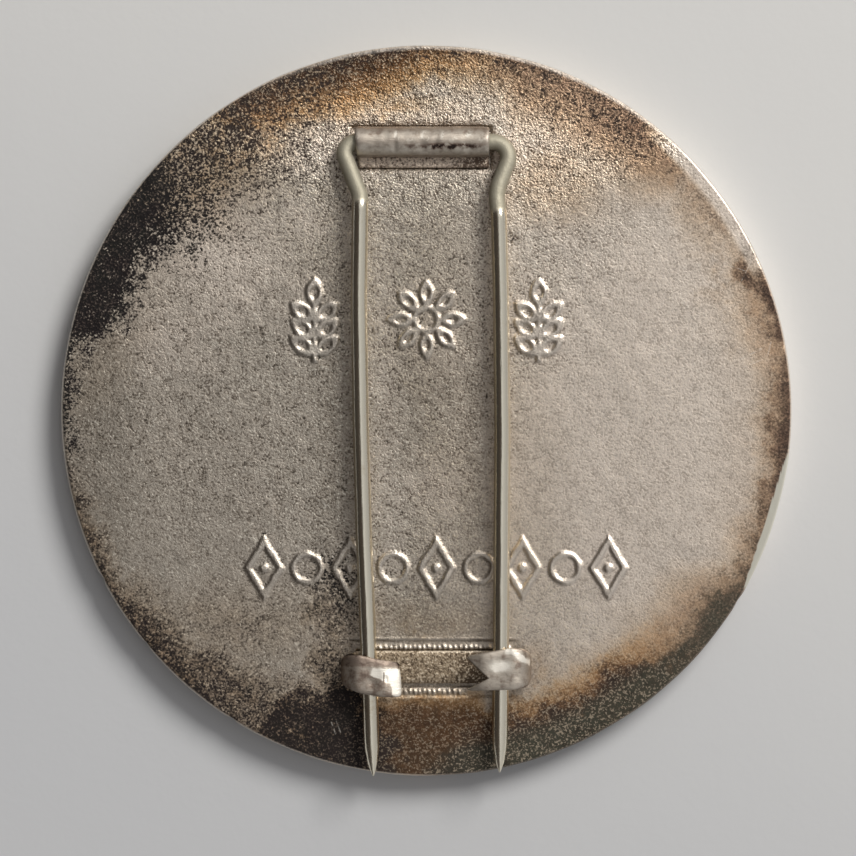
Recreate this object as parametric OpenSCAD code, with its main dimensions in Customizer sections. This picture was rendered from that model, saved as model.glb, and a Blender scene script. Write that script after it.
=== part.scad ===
// Round struck medal lying on its front, with the double pin on its back closed.
// Millimetres, +Z up. The origin is the centre of the front face, on the surface it lies on.
// +Y points to the top of the medal, so the hinge is at +Y and the points are at -Y.

/* [Disc] */
// Diameter of the medal
disc_d = 45; // [44.5:0.5:47]
// Thickness, from the front face to the back face
disc_t = 2; // [1.8:0.1:3]
// Chamfer round the front and back edges
edge_c = 0.12; // [0.05:0.01:0.2]
// Direction of the filed place on the edge, in degrees from +X
filed_turn = -18; // [-40:1:0]
// How far the filed place reaches in over the back face
filed_w = 0.55; // [0.3:0.05:0.7]
// Slope of the filed place below the back face, in degrees
filed_slope = 42; // [30:1:60]

/* [Struck frames] */
// Depth of the pockets that the two strips are set in
pocket_d = 0.25; // [0.2:0.01:0.3]
// Gap between a strip and the wall of its pocket
pocket_gap = 0.05; // [0.03:0.01:0.1]
// Depth of the shallow frame round each pocket
frame_d = 0.05; // [0.03:0.01:0.08]
// Margin between the hinge pocket and its frame
hinge_frame_w = 0.2; // [0.2:0.05:0.5]
// Margin between the catch pocket and its frame
catch_frame_w = 0.7; // [0.3:0.05:0.8]

/* [Raised ornaments] */
// Height of the ornaments above the back face
relief_h = 0.1; // [0.05:0.01:0.15]
// Width of a raised line
line_w = 0.32; // [0.25:0.01:0.4]
// Height of an ornament in the upper row
upper_h = 5.2; // [4:0.1:5.6]
// Distance of the upper row above the centre
upper_y = 5.6; // [4.5:0.1:6.5]
// Spacing of the three ornaments in the upper row
upper_pitch = 6.9; // [6.2:0.1:7.5]
// Height of an ornament in the lower row
lower_h = 4; // [3:0.1:4.2]
// Distance of the lower row below the centre
lower_y = 9.7; // [9:0.1:10.5]
// Middle of the lower row, to the right of the centre
lower_x = 0.6; // [-0.5:0.1:1]
// Number of lozenges in the lower row, with a ring between each two
lozenges = 5; // [3:1:5]
// Distance from a lozenge to the next ring
lower_pitch = 2.65; // [2.5:0.05:2.75]

/* [Hinge plate] */
// Thickness of the metal of both strips
strip_t = 0.4; // [0.35:0.01:0.45]
// Distance of the hinge's axis above the centre
hinge_y = 16.5; // [16:0.1:17]
// Length of the barrel
barrel_l = 8.2; // [7.5:0.1:8.2]
// Middle of the barrel, to the right of the centre
barrel_x = -0.25; // [-0.3:0.05:0]
// Slant of the barrel's left-hand end, in degrees
barrel_slant = 6; // [0:1:7]
// Length of the flat foot, from below the axis to its front edge
foot_l = 1.57; // [1.4:0.01:1.8]
// Direction in which the roll ends above the foot, in degrees round the axis
roll_end = 207; // [195:1:210]

/* [Catch plate] */
// Distance of the catch below the centre
catch_y = 15.8; // [15.5:0.1:16]
// Width of the strip between the hooks
catch_w = 2.1; // [1.9:0.05:2.2]
// Width of the left hook at its bend
hook_w_left = 2.5; // [2.3:0.05:2.7]
// Width of the right hook at its bend
hook_w_right = 2.6; // [2.4:0.05:2.7]
// How much narrower a hook is at its free end
hook_taper = 0.3; // [0:0.05:0.5]
// Clear height inside a hook
hook_gap = 1.6; // [1.55:0.05:1.8]
// Length of the left hook, from its bend to its free end
hook_l_left = 3.75; // [3.5:0.05:4]
// Length of the right hook, to its two points
hook_l_right = 4.1; // [3.8:0.05:4.2]
// Outside of the left hook's bend, to the left of the centre
hook_x_left = 5.26; // [5.2:0.01:5.4]
// Outside of the right hook's bend, to the right of the centre
hook_x_right = 6.43; // [6.3:0.01:6.5]
// Turn of the left hook towards the points, in degrees
hook_turn_left = 7.5; // [0:0.5:8]
// Turn of the right hook towards the points, in degrees
hook_turn_right = 5.6; // [0:0.2:8]
// Depth of the notch in the right hook's end
notch_l = 1.35; // [0.8:0.05:1.4]
// Downward turn of the hooks' free ends, in degrees
curl_turn = 32; // [20:1:34]

/* [Pin wire] */
// Diameter of the wire
wire_d = 1; // [0.95:0.01:1]
// Diameter of the prongs from the catch on, where they are drawn a little finer
point_d = 0.96; // [0.9:0.01:0.97]
// Radial running gap between the wire and the barrel
run_gap = 0.055; // [0.03:0.005:0.08]
// Rise of the shoulders away from the back face, in degrees
shoulder_rise = 13.2; // [12.5:0.1:13.5]
// Fall of the prongs from the kinks towards the catch, in degrees
prong_fall = 0.6; // [0.5:0.05:0.65]
// Length of the first, blunt part of a point
taper_l = 1.85; // [1.5:0.05:2]
// Diameter between the two parts of a point
taper_d = 0.74; // [0.6:0.01:0.8]
// Length of the last, sharp part of a point
tip_l = 1.4; // [1:0.05:1.6]
// Diameter of the very tip
tip_d = 0.1; // [0.05:0.01:0.2]

/* [Hidden] */

disc_r = disc_d / 2;
back_z = disc_t;
floor_z = back_z - pocket_d;
// How far the ornaments reach down into the disc
sink = 0.2;
// Size of a block that is only there to cut
cutter = 6;

wire_r = wire_d / 2;
bore_r = wire_r + run_gap;
barrel_r = bore_r + strip_t;
axis_z = floor_z + barrel_r;
barrel_x0 = barrel_x - barrel_l / 2;
barrel_x1 = barrel_x + barrel_l / 2;
// How much longer the hinge plate is drawn before its slanted end is cut
slant_extra = 0.3;
// Room in the hinge pocket beside the slanted end and beside the straight end
slant_room = 0.2;
end_room = 0.1;

bend_r = hook_gap / 2 + strip_t;
hook_h = 2 * bend_r;
// Inner radius of the curl at a hook's free end, and how far the curl reaches
curl_r = 2.2;
curl_l = (curl_r + strip_t) * sin(curl_turn);
// How far the strip reaches into the hooks, and how far these stay above the pocket's edge
foot_lap = 0.22;
hook_ledge = 0.02;
// How far the left hook's bend lies below the middle of the strip
hook_root_left = 0.3;
// How far a hook's outline is drawn past its free end
outline_past = 0.1;
// The two points of the right hook and the notch between them, as shares of the end's half width
upper_point = 0.82;
lower_point = 0.88;
notch_place = 0.1;

strip_x0 = bend_r - hook_x_left - foot_lap;
strip_x1 = hook_x_right - bend_r + foot_lap;

// Where the prongs bend in a little and are drawn finer, just before the catch
step_y = -14.1;
// The ends of the two points
left_tip = [-3.26, -22.44];
right_tip = [4.5, -22.23];

// Corners of the wire seen from above, from one step to the other: x, y and the radius of the bend
ROUTE_X = 0;
ROUTE_Y = 1;
ROUTE_R = 2;
kink_y = hinge_y - 3.36;
route = [
  [-3.53, step_y, 0],
  [-4.08, kink_y, 1.2],
  [barrel_x0 - 1.02, hinge_y, 0.75],
  [barrel_x1 + 1.65, hinge_y, 1],
  [4.4, hinge_y - 2.75, 1.2],
  [4.31, hinge_y - 3.4, 1],
  [4.42, hinge_y - 4.3, 1.5],
  [4.555, step_y, 0]
];
corners = len(route) - 2;

// A bend is a hair thicker than the straight stretches, whose ends reach a little way into it
bend_swell = 0.005;
bend_lap = 0.03;
// How far a finer end reaches into its prong
step_lap = 0.3;

// Height of the wire's centre: it rises along the shoulders and falls a little along the prongs
function wire_z(y) = y > kink_y
  ? axis_z + (hinge_y - y) * tan(shoulder_rise)
  : axis_z + (hinge_y - kink_y) * tan(shoulder_rise) - (kink_y - y) * tan(prong_fall);
function raised(p) = [p.x, p.y, wire_z(p.y)];

function corner(i) = raised([route[i][ROUTE_X], route[i][ROUTE_Y]]);
function heading(i) = (corner(i + 1) - corner(i)) / norm(corner(i + 1) - corner(i));
function sweep(i) = acos(heading(i - 1) * heading(i));
// Distance from a corner to where its bend ends, which is nothing at the two ends of the route
function setback(i) = i < 1 || i > corners ? 0 : route[i][ROUTE_R] * tan(sweep(i) / 2) - bend_lap;

// Leaf shape with pointed ends, between two arcs
module lens(l, w) {
  r = (l * l + w * w) / (4 * w);
  intersection() {
    translate([0, r - w / 2]) circle(r, $fn = 96);
    translate([0, w / 2 - r]) circle(r, $fn = 96);
  }
}

module leaf(l, w) {
  hole_l = l - 3.4 * line_w;
  hole_w = w - 1.7 * line_w;
  difference() {
    lens(l, w);
    lens(hole_l, hole_w);
  }
}

module raise() {
  translate([0, 0, back_z - sink]) linear_extrude(sink + relief_h) children();
}

// Upright sprig with paired leaves and a leaf on top
module sprig() {
  stem_h = 0.7 * upper_h;
  leaf_l = 0.36 * upper_h;
  leaf_w = 0.55 * leaf_l;
  lowest = -0.42 * upper_h;
  level_h = 0.2 * upper_h;
  lean = 52;
  raise() translate([-line_w / 2, -upper_h / 2]) square([line_w, stem_h]);
  raise() translate([0, upper_h / 2 - leaf_l / 2]) rotate(90) leaf(leaf_l, leaf_w);
  for (level = [0 : 2], side = [-1, 1])
    raise() translate([0, lowest + level * level_h])
      rotate(90 - side * lean) translate([leaf_l / 2, 0]) leaf(leaf_l, leaf_w);
}

// Round rosette with eight petals about a ring
module rosette() {
  petals = 8;
  petal_l = 0.34 * upper_h;
  petal_w = 0.52 * petal_l;
  ring_r = 0.17 * upper_h;
  raise() difference() {
    circle(ring_r, $fn = 64);
    circle(ring_r - line_w, $fn = 64);
  }
  for (i = [0 : petals - 1])
    raise() rotate(i * 360 / petals) translate([ring_r + petal_l / 2 - line_w / 2, 0])
      leaf(petal_l, petal_w);
}

module lozenge() {
  half_w = 0.46 * lower_pitch;
  hole = 1 - 1.35 * line_w / half_w;
  dot_r = 0.8 * line_w;
  outline = [[half_w, 0], [0, lower_h / 2], [-half_w, 0], [0, -lower_h / 2]];
  raise() difference() {
    polygon(outline);
    scale(hole) polygon(outline);
  }
  raise() circle(dot_r, $fn = 24);
}

module ring() {
  ring_r = 0.38 * lower_pitch;
  raise() difference() {
    circle(ring_r, $fn = 48);
    circle(ring_r - line_w, $fn = 48);
  }
}

module ornaments() {
  translate([0, upper_y, 0]) rosette();
  for (side = [-1, 1]) translate([side * upper_pitch, upper_y, 0]) sprig();
  for (i = [0 : 2 * lozenges - 2])
    translate([lower_x + (i - lozenges + 1) * lower_pitch, -lower_y, 0])
      if (i % 2 == 0) lozenge(); else ring();
}

// Rectangular recess in the back face, given by two corners
module recess(from, to, depth) {
  translate([from.x, from.y, back_z - depth]) cube([to.x - from.x, to.y - from.y, depth + 1]);
}

module framed_pocket(from, to, margin) {
  gap = [pocket_gap, pocket_gap];
  edge = [margin, margin];
  recess(from - gap, to + gap, pocket_d);
  recess(from - edge, to + edge, frame_d);
}

module filed_place() {
  rotate([0, 0, filed_turn]) translate([disc_r - filed_w, 0, back_z]) rotate([0, filed_slope, 0])
    translate([-cutter / 2, -disc_r, 0]) cube([cutter, disc_d, cutter]);
}

module medal_disc() {
  color([0.62, 0.59, 0.54]) difference() {
    union() {
      rotate_extrude($fn = 180) polygon([
        [0, 0], [disc_r - edge_c, 0], [disc_r, edge_c],
        [disc_r, back_z - edge_c], [disc_r - edge_c, back_z], [0, back_z]
      ]);
      ornaments();
    }
    framed_pocket(
      [barrel_x0 - slant_room, hinge_y - foot_l],
      [barrel_x1 + end_room, hinge_y + barrel_r], hinge_frame_w
    );
    framed_pocket(
      [strip_x0, -catch_y - catch_w / 2],
      [strip_x1, -catch_y + catch_w / 2], catch_frame_w
    );
    filed_place();
  }
}

// Strip seen from its end: a flat foot, and a roll that starts under the axis
module hinge_plate() {
  start_x = barrel_x0 - slant_extra;
  drawn_l = barrel_l + slant_extra;
  color([0.66, 0.64, 0.6]) difference() {
    union() {
      translate([start_x, hinge_y, axis_z]) rotate([90, 0, 90])
        linear_extrude(drawn_l) difference() {
          circle(barrel_r, $fn = 96);
          circle(bore_r, $fn = 96);
          polygon([
            [0, 0], 2 * barrel_r * [cos(roll_end), sin(roll_end)],
            [-2 * barrel_r, -2 * barrel_r], [0, -2 * barrel_r]
          ]);
        }
      translate([start_x, hinge_y - foot_l, floor_z]) cube([drawn_l, foot_l, strip_t]);
    }
    translate([barrel_x0, hinge_y, axis_z]) rotate([0, 0, -barrel_slant])
      translate([-cutter, -cutter / 2, -cutter / 2]) cube(cutter);
  }
}

// Strip of a hook seen from its side, which starts at its bend and opens along +X
module hook_profile(leaf_l) {
  translate([bend_r, bend_r]) difference() {
    circle(bend_r, $fn = 96);
    circle(bend_r - strip_t, $fn = 96);
    translate([0, -2 * bend_r]) square(4 * bend_r);
  }
  translate([bend_r, hook_h - strip_t]) square([leaf_l, strip_t]);
  translate([bend_r + leaf_l, hook_h - strip_t - curl_r]) difference() {
    circle(curl_r + strip_t, $fn = 96);
    circle(curl_r, $fn = 96);
    polygon([
      [0, 0], [0, 3 * curl_r], [-3 * curl_r, 3 * curl_r], [-3 * curl_r, -3 * curl_r],
      [3 * curl_r, -3 * curl_r], 3 * curl_r * [sin(curl_turn), cos(curl_turn)]
    ]);
  }
}

// Hook cut to its outline seen from above, with its foot on z = 0 and no part of it inside the disc
module hook(reach, root_w, notch) {
  end_y = (root_w - hook_taper) / 2;
  past = reach + outline_past;
  notched_end = [
    [past, upper_point * end_y], [reach - notch, -notch_place * end_y], [past, -lower_point * end_y]
  ];
  intersection() {
    translate([0, root_w, 0]) rotate([90, 0, 0]) linear_extrude(2 * root_w)
      hook_profile(reach - bend_r - curl_l);
    translate([0, 0, pocket_d + hook_ledge]) linear_extrude(hook_h) polygon(concat(
      [[0, -root_w / 2], [0, root_w / 2], [past, end_y]],
      notch > 0 ? notched_end : [],
      [[past, -end_y]]
    ));
  }
}

module catch_plate() {
  color([0.7, 0.66, 0.62]) union() {
    translate([strip_x0, -catch_y - catch_w / 2, floor_z]) cube([strip_x1 - strip_x0, catch_w, strip_t]);
    translate([-hook_x_left, -catch_y - hook_root_left, floor_z]) rotate([0, 0, -hook_turn_left])
      hook(hook_l_left, hook_w_left, 0);
    translate([hook_x_right, -catch_y, floor_z]) rotate([0, 0, hook_turn_right])
      mirror([1, 0, 0]) hook(hook_l_right, hook_w_right, notch_l);
  }
}

// Turns what stands along +Z at the origin so that it starts at a and points to b
module aim(a, b) {
  d = b - a;
  translate(a) rotate([0, acos(d.z / norm(d)), atan2(d.y, d.x)]) children();
}

// Straight stretch of wire from a corner to the next
module stretch(i) {
  from = corner(i) + heading(i) * setback(i);
  to = corner(i + 1) - heading(i) * setback(i + 1);
  aim(from, to) cylinder(h = norm(to - from), r = wire_r, $fn = 64);
}

// Round bend at a corner, in the plane of the two stretches that meet there
module bend(i) {
  r = route[i][ROUTE_R];
  along = heading(i - 1);
  across = cross(along, heading(i)) / sin(sweep(i));
  out = cross(along, across);
  centre = corner(i) - along * r * tan(sweep(i) / 2) - out * r;
  multmatrix([
    [out.x, along.x, across.x, centre.x],
    [out.y, along.y, across.y, centre.y],
    [out.z, along.z, across.z, centre.z]
  ]) rotate_extrude(angle = sweep(i), $fn = 64) translate([r, 0]) circle(wire_r + bend_swell, $fn = 64);
}

// Finer end of a prong, from inside the prong to the tip, with a point in two cones
module point(start, tip) {
  l = norm(tip - start);
  aim(start, tip) rotate_extrude($fn = 64) polygon([
    [0, -step_lap], [point_d / 2, -step_lap],
    [point_d / 2, l - tip_l - taper_l], [taper_d / 2, l - tip_l], [tip_d / 2, l], [0, l]
  ]);
}

module pin_wire() {
  color([0.72, 0.69, 0.56]) union() {
    for (i = [0 : corners]) stretch(i);
    for (i = [1 : corners]) bend(i);
    point(corner(0), raised(left_tip));
    point(corner(corners + 1), raised(right_tip));
  }
}

medal_disc();
hinge_plate();
catch_plate();
pin_wire();
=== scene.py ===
from functools import partialmethod, reduce
from math import acos, cos, hypot, pi, radians, sin, sqrt, tan

import bpy
import numpy as np
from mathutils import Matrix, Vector


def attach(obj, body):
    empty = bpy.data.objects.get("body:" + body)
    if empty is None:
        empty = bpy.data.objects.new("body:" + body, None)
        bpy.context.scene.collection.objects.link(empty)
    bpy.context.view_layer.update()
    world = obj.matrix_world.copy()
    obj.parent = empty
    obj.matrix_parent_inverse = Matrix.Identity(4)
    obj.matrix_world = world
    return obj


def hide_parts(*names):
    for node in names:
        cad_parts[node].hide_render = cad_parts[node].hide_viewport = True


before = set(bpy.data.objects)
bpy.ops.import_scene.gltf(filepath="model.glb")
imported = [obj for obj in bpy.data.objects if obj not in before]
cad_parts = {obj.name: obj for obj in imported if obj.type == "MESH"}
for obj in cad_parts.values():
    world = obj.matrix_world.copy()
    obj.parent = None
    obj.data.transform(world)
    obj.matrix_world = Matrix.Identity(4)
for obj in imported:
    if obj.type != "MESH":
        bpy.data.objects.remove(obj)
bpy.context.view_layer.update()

mm = 0.001  # every shape below is worked out in millimetres


# A new object in the scene
def added(name, data):
    made = bpy.data.objects.new(name, data)
    bpy.context.scene.collection.objects.link(made)
    return made


# Camera: straight above the medal, which is 731 of the picture's 856 pixels across
picture = dict(pixels=856, discPixels=731, centre=(426.5, 410.5))
camera = dict(height=300, sensor=36, clip=(0.01, 10))


def makeCamera(disc):
    mmPerPixel = disc["diameter"] / picture["discPixels"]
    middle = picture["pixels"] / 2
    x = (middle - picture["centre"][0]) * mmPerPixel
    y = (picture["centre"][1] - middle) * mmPerPixel
    data = bpy.data.cameras.new("camera")
    data.sensor_width = camera["sensor"]
    data.lens = camera["sensor"] * camera["height"] / (mmPerPixel * picture["pixels"])
    data.clip_start, data.clip_end = camera["clip"]
    made = added("camera", data)
    made.location = (x * mm, y * mm, (camera["height"] + disc["backZ"]) * mm)
    bpy.context.scene.camera = made


# Shader sums: a wrapped socket, so that sums on sockets read as Python
class Link:
    def __init__(self, paint, socket):
        self.paint, self.socket = paint, socket

    def math(self, operation, *others):
        return self.paint.node("Math", {"operation": operation}, dict(enumerate((self, *others))))

    def __rsub__(self, other):
        return self.paint.node("Math", {"operation": "SUBTRACT"}, {0: other, 1: self})

    __add__ = __radd__ = partialmethod(math, "ADD")
    __mul__ = __rmul__ = partialmethod(math, "MULTIPLY")
    __sub__, __truediv__ = partialmethod(math, "SUBTRACT"), partialmethod(math, "DIVIDE")
    most, least = partialmethod(math, "MAXIMUM"), partialmethod(math, "MINIMUM")
    size = partialmethod(math, "ABSOLUTE")

    # 0 below low, 1 above high and smooth between, or the other way round if low is above high
    def ramp(self, low, high):
        turned = low > high
        ends = {1: min(low, high), 2: max(low, high), 3: float(turned), 4: float(not turned)}
        return self.paint.node("MapRange", {"interpolation_type": "SMOOTHSTEP"}, {0: self, **ends})

    # 1 at a value, and falling to 0 at that distance from it
    def near(self, value, reach):
        return (self - value).size().ramp(reach, 0)


# Paint: the nodes of one material, or of the world
class Paint:
    def __init__(self, name, world=False):
        self.owner = (bpy.data.worlds if world else bpy.data.materials).new(name)
        self.owner.use_nodes = True
        self.tree = self.owner.node_tree
        self.tree.nodes.clear()
        # on a material the place in millimetres, in the world the direction looked in
        place = self.node("TexCoord", {}, {}, "Generated" if world else "Object")
        self.place = place if world else self.scaled(place, (1 / mm,) * 3)

    # any shader node: its type, its settings, and the values or links of its sockets
    def node(self, kind, settings, inputs, output=0):
        made = self.tree.nodes.new("ShaderNode" + kind)
        for name, value in settings.items():
            if name == "stops":
                fillRamp(made.color_ramp, value)
            else:
                setattr(made, name, value)
        for name, value in inputs.items():
            if isinstance(value, Link):
                self.tree.links.new(value.socket, made.inputs[name])
            else:
                made.inputs[name].default_value = value
        return Link(self, made.outputs[output]) if made.outputs else made

    def vector(self, operation, *values, output=0):
        return self.node("VectorMath", {"operation": operation}, dict(enumerate(values)), output)

    def dot(self, a, b):
        return self.vector("DOT_PRODUCT", a, b, output="Value")

    # how far a direction points towards an angle in degrees: 1 along it, 0 across it
    def facing(self, direction, degrees):
        a = radians(degrees)
        return self.dot(direction, (cos(a), sin(a), 0))

    def scaled(self, vector, by):
        return self.vector("MULTIPLY", vector, by)

    def parts(self, vector):
        split = self.node("SeparateXYZ", {}, {0: vector})
        return [Link(self, s) for s in split.socket.node.outputs]

    def noise(self, size, detail=3, rough=0.55, place=None, shift=0):
        place = place or self.place
        if shift:
            place = self.vector("ADD", place, (shift, 2 * shift, -shift))
        inputs = {"Vector": place, "Scale": 1 / size, "Detail": detail, "Roughness": rough}
        return self.node("TexNoise", {}, inputs)

    # colours are links, or sRGB numbers from 0 to 255
    def mix(self, factor, a, b, blend="MIX"):
        a, b = ((*linear(*c), 1) if isinstance(c, tuple) else c for c in (a, b))
        settings = {"data_type": "RGBA", "blend_type": blend}
        return self.node("Mix", settings, {0: factor, 6: a, 7: b}, 2)

    def tint(self, factor, a, b):
        return self.mix(factor, a, b, "MULTIPLY")

    def graded(self, factor, stops):
        return self.node("ValToRGB", {"stops": [(at, linear(*tone)) for at, *tone in stops]}, {0: factor})

    def marks(self, *names):
        return [self.node("Attribute", {"attribute_name": name}, {}, "Fac") for name in names]

    def bump(self, height, distance=1, strength=1):
        return self.node("Bump", {}, {"Height": height, "Distance": distance * mm, "Strength": strength})

    def finish(self, inputs):
        shader = self.node("BsdfPrincipled", {}, inputs)
        self.node("OutputMaterial", {}, {0: shader})
        return self.owner


def fillRamp(ramp, stops):
    while len(ramp.elements) < len(stops):
        ramp.elements.new(0.5)
    for element, (place, colour) in zip(ramp.elements, stops):
        element.position, element.color = place, (*colour, 1)


# sRGB numbers from 0 to 255 as the linear colour that a socket takes
def linear(*srgb):
    return tuple(c / 255 / 12.92 if c < 10.3 else ((c / 255 + 0.055) / 1.055) ** 2.4 for c in srgb)


# Light: a soft lamp from the upper right, in a room that is bright on that side. Each stop of the room is how
# far one looks towards that side, from -1 to 1, and the colour there
light = dict(
    azimuth=49, elevation=44, distance=600, diameter=290, power=2.72, lampColour=(1, 0.98, 0.95),
    backdrop=(0.6, 0.6, 0.59), roomAzimuth=9,
    room=((-1, 0.034, 0.03, 0.028), (-0.5, 0.05, 0.042, 0.037), (-0.28, 0.065, 0.055, 0.05),
          (-0.18, 0.14, 0.135, 0.13), (-0.08, 0.52, 0.52, 0.53), (0.05, 0.56, 0.56, 0.57),
          (0.35, 0.44, 0.44, 0.45), (1, 0.34, 0.34, 0.35)))


def makeLight():
    a, e = radians(light["azimuth"]), radians(light["elevation"])
    towards = Vector((cos(a) * cos(e), sin(a) * cos(e), sin(e)))
    data = bpy.data.lights.new("lamp", "AREA")
    data.shape = "DISK"
    data.size = light["diameter"] * mm
    data.energy = light["power"]
    data.color = light["lampColour"]
    lamp = added("lamp", data)
    lamp.location = towards * light["distance"] * mm
    lamp.rotation_mode = "QUATERNION"
    lamp.rotation_quaternion = towards.to_track_quat("Z", "Y")

    room = Paint("room", world=True)
    bpy.context.scene.world = room.owner
    side = room.facing(room.place, light["roomAzimuth"]) * 0.5 + 0.5
    stops = [((at + 1) / 2, tone) for at, *tone in light["room"]]
    walls = room.node("ValToRGB", {"stops": stops}, {0: side})
    glow = room.node("Background", {}, {"Color": walls})
    backdrop = room.node("Background", {}, {"Color": (*light["backdrop"], 1)})
    seen = room.node("LightPath", {}, {}, "Is Camera Ray")
    shown = room.node("MixShader", {}, {0: seen, 1: glow, 2: backdrop})
    room.node("OutputWorld", {}, {0: shown})
    bpy.context.scene.view_settings.view_transform = "Standard"


# Floor: pale paper with soft patches, and painted shade that darkens it a little towards the lower left
paper = dict(
    half=450, light=(223, 222, 219), dark=(203, 204, 206), patch=(214, 214, 213),
    towards=(0.45, 0.89, 0), fade=(26, -32), patchSize=40, fibreDepth=0.05)


def makeFloor():
    half = paper["half"]
    corners = np.array([[-half, -half, 0], [half, -half, 0], [half, half, 0], [-half, half, 0]], float)
    floor = makeMesh("paper", corners, np.array([[0, 1, 2, 3]]))
    p = Paint("paper")
    # painted shade: the paper is darker towards the lower left
    low = p.dot(p.place, paper["towards"]).ramp(*paper["fade"])
    tone = p.mix(low, paper["light"], paper["dark"])
    tone = p.mix(p.noise(paper["patchSize"], 2) * 0.5, tone, paper["patch"])
    fibres = p.noise(3, 2) * 0.35 + p.noise(0.5, 1) * 0.15
    floor.data.materials.append(p.finish({
        "Base Color": tone, "Roughness": 0.85, "Specular IOR Level": 0.2,
        "Normal": p.bump(fibres, paper["fibreDepth"])}))


# Meshes from arrays: points in millimetres, faces as rows of point numbers, and a value a point for the paint
def makeMesh(name, points, quads, triangles=None, marks=None):
    triangles = np.empty((0, 3), int) if triangles is None else triangles
    corners = np.concatenate([quads.ravel(), triangles.ravel()]).astype(np.int32)
    sizes = np.concatenate([np.full(len(quads), 4), np.full(len(triangles), 3)])
    mesh = bpy.data.meshes.new(name)
    mesh.vertices.add(len(points))
    mesh.vertices.foreach_set("co", (points * mm).astype(np.float32).ravel())
    mesh.loops.add(len(corners))
    mesh.loops.foreach_set("vertex_index", corners)
    mesh.polygons.add(len(sizes))
    mesh.polygons.foreach_set("loop_start", (np.cumsum(sizes) - sizes).astype(np.int32))
    mesh.polygons.foreach_set("use_smooth", np.ones(len(sizes), bool))
    mesh.update(calc_edges=True)
    for key, values in (marks or {}).items():
        layer = mesh.attributes.new(key, "FLOAT", "POINT")
        layer.data.foreach_set("value", values.astype(np.float32).ravel())
    print(name + ":", 2 * len(quads) + len(triangles), "triangles")
    return added(name, mesh)


# Faces of a grid of points numbered row by row, open or closed along its rows
def gridFaces(rows, columns, closed=False, start=0):
    i = np.arange(rows - 1)[:, None]
    j = np.arange(columns if closed else columns - 1)[None, :]
    here, right = start + i * columns + j, start + i * columns + (j + 1) % columns
    return np.stack([here, right, right + columns, here + columns], -1).reshape(-1, 4)


def smooth(x):
    x = np.clip(x, 0, 1)
    return x * x * (3 - 2 * x)


# 1 at a value, and 0.37 at that width from it
def bell(x, at, width, power=2):
    return np.exp(-((x - at) / width) ** power)


# How far along each point of a line is, from the lengths of its steps
def running(steps):
    return np.concatenate([[0], np.cumsum(steps)])


# Soft irregular waves, mostly from -1 to 1: a sum of plane waves over the root of their number
def waves(x, y, size, seed, count=9):
    chance = np.random.default_rng(seed)
    turns, phases = (chance.uniform(0, 2 * pi, count) for _ in range(2))
    stretches = chance.uniform(0.7, 1.5, count)
    total = np.zeros(np.broadcast(x, y).shape)
    for turn, phase, stretch in zip(turns, phases, stretches):
        along = x * cos(turn) + y * sin(turn)
        total += np.sin(2 * pi * stretch / size * along + phase)
    return total / sqrt(count)


# Disc: the back is one height over x and y, and rings carry it round the rim to the plain front
disc = dict(
    diameter=45, backZ=2, innerRadius=21.3, columns=600, coarseStep=0.42,
    filedTurn=-18, filedWidth=0.55, filedSlope=42,          # the filed place on the edge
    # the rim's profile: rings on the back by how far in they lie, round edges, wall, and rings on the front
    insets=(0.92, 0.8, 0.7, 0.62, 0.55, 0.48, 0.41, 0.34, 0.27, 0.21), rounding=0.17, frontRounding=0.14,
    wallZ=(1.5, 1.15, 0.8, 0.45), wallWave=0.02, frontRadii=(21.6, 19, 14, 8, 3),
    # each nick's angle, width and depth
    nicks=((207.4, 0.3, 0.1), (219.8, 0.26, 0.08), (237.7, 0.28, 0.09), (-31.5, 0.35, 0.05)),
    pocketDepth=0.25, frameDepth=0.05, wallHalf=0.035, burr=0.055, burrReach=0.05)
ornament = dict(
    height=0.1, line=0.32, flankOut=0.07, flankIn=-0.07, fineStep=0.086,
    upperY=5.6, upperHeight=5.2, upperPitch=6.9, petals=8,
    lowerX=0.6, lowerY=-9.7, lowerHeight=4, lowerPitch=2.65, lozenges=5)
# Each box runs from x to x and from y to y. Burrs at the sides, below and above are shares of the disc's
hingeFrame = dict(
    pocket=(-4.6, 4, 14.88, 17.5), frame=(-4.75, 4.15, 14.73, 17.545), fade=0.02, step=0.12,
    burrs=(0.3, 0.3, 0.3))
catchFrame = dict(
    pocket=(-4.33, 5.5, -17.05, -14.73), frame=(-4.75, 5.95, -17.62, -14.13), fade=1.7, step=0.09,
    burrs=(0.2, 0.2, 1))
stakeRows = (dict(y=-14.59, first=-3.2, last=5.2), dict(y=-17.3, first=-2.6, last=2.2))
stake = dict(
    pitch=0.308, radius=0.165, height=0.085, slant=0.35, squash=(1.08, 0.85), steep=1.35,
    strays=((0.06, 12.9898), (0.035, 4.13), (0.18, 7.7)))    # across, up and in size


# Signed distances in millimetres, below 0 inside
def lensDistance(x, y, length, width):  # the overlap of two equal circles
    r = (length ** 2 + width ** 2) / (4 * width)
    return np.maximum(np.hypot(x, y - (r - width / 2)), np.hypot(x, y + (r - width / 2))) - r


def leafDistance(x, y, length, width):  # a lens with a smaller lens taken out of it
    line = ornament["line"]
    inner = lensDistance(x, y, length - 3.4 * line, width - 1.7 * line)
    return np.maximum(lensDistance(x, y, length, width), -inner)


def ringDistance(x, y, radius):  # a line bent round a circle, whose outside has that radius
    return np.abs(np.hypot(x, y) - radius + ornament["line"] / 2) - ornament["line"] / 2


def boxDistance(x, y, box):  # how far outside the nearest side of an upright box
    x0, x1, y0, y1 = box
    return np.maximum(np.abs(x - (x0 + x1) / 2) - (x1 - x0) / 2, np.abs(y - (y0 + y1) / 2) - (y1 - y0) / 2)


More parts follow.
